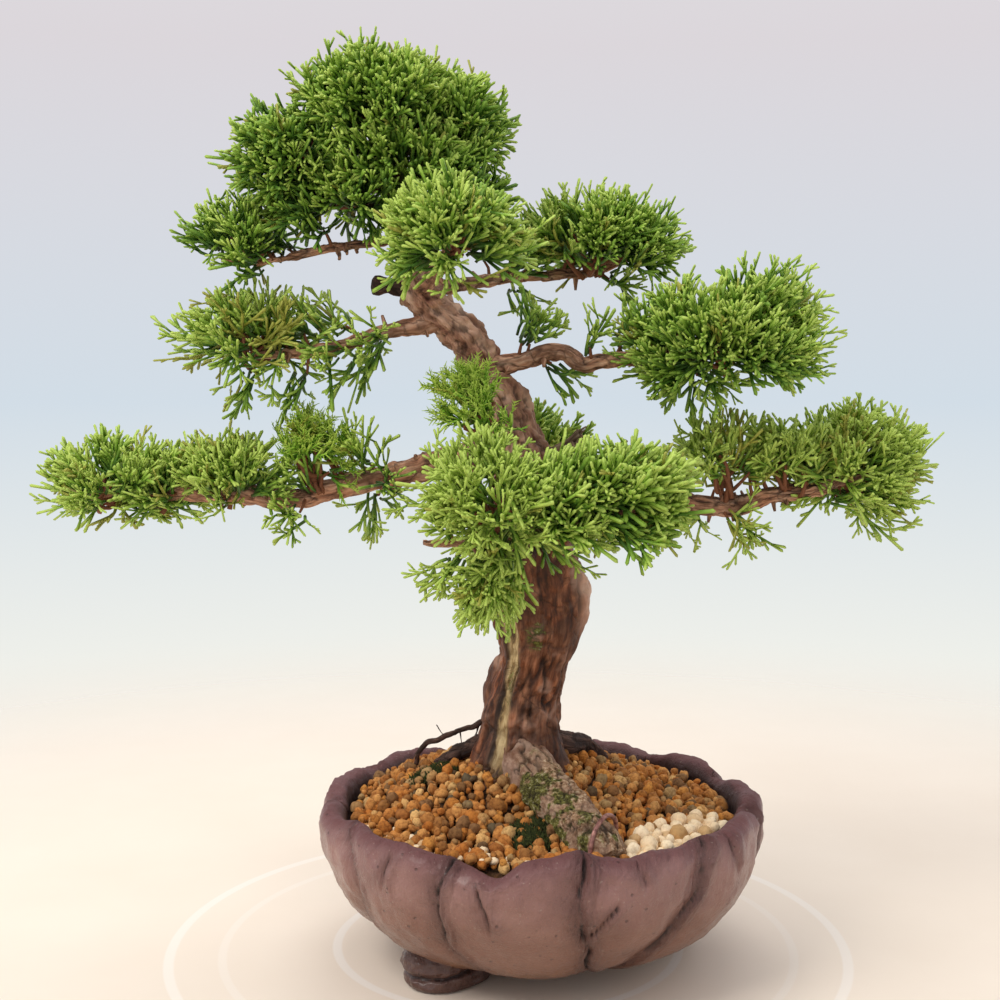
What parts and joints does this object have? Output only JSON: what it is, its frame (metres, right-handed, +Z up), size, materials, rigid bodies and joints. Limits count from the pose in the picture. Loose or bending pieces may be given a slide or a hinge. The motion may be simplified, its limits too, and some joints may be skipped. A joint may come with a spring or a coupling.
{
  "type": "bonsai tree in a pot",
  "caption": "Juniper bonsai with a curved trunk, layered pads of scale leaves and surface roots, in a round hand-moulded clay pot of grains.",
  "frame": {"origin": "middle of the whole object's footprint, on the surface that the pot's feet stand on", "axes": "+Z up along the trunk, +X to the tree's right seen from the front, -Y towards the front, where the large surface root runs"},
  "size_m": [0.3548, 0.1924, 0.3571],
  "materials": {
    "clay": "satin",
    "akadama": "matte",
    "pumice": "matte",
    "bark": "matte",
    "deadwood": "matte",
    "foliage": "satin",
    "moss": "matte",
    "wire": "satin",
    "net": "matte"
  },
  "bodies": {
    "root": {"aerial_root": "bark", "branch_back_low": "bark", "branch_crown_left": "bark", "branch_crown_right": "bark", "branch_front_low_left": "bark", "branch_front_low_right": "bark", "branch_front_upper": "bark", "branch_left_low": "bark", "branch_left_mid": "bark", "branch_left_upper": "bark", "branch_right_low": "bark", "branch_right_mid": "bark", "branch_right_upper": "bark", "branch_sprig": "bark", "drain_clip": "wire", "drain_mesh": "net", "foliage_back_low": "foliage", "foliage_crown_left": "foliage", "foliage_crown_right": "foliage", "foliage_crown_top": "foliage", "foliage_front_low_left": "foliage", "foliage_front_low_right": "foliage", "foliage_front_upper": "foliage", "foliage_left_low_inner": "foliage", "foliage_left_low_tip": "foliage", "foliage_left_low_top": "foliage", "foliage_left_mid": "foliage", "foliage_left_upper": "foliage", "foliage_right_low_inner": "foliage", "foliage_right_low_outer": "foliage", "foliage_right_mid": "foliage", "foliage_right_upper": "foliage", "foliage_sprig": "foliage", "moss_front": "moss", "moss_left": "moss", "pot": "clay", "pumice_patch": "pumice", "root_front": "bark", "root_left": "bark", "root_right": "bark", "soil_bed": "akadama", "stub_cut": "deadwood", "stub_dark": "deadwood", "stub_pale": "deadwood", "tie_wire": "wire", "trunk": "bark"}
  },
  "joints": []
}
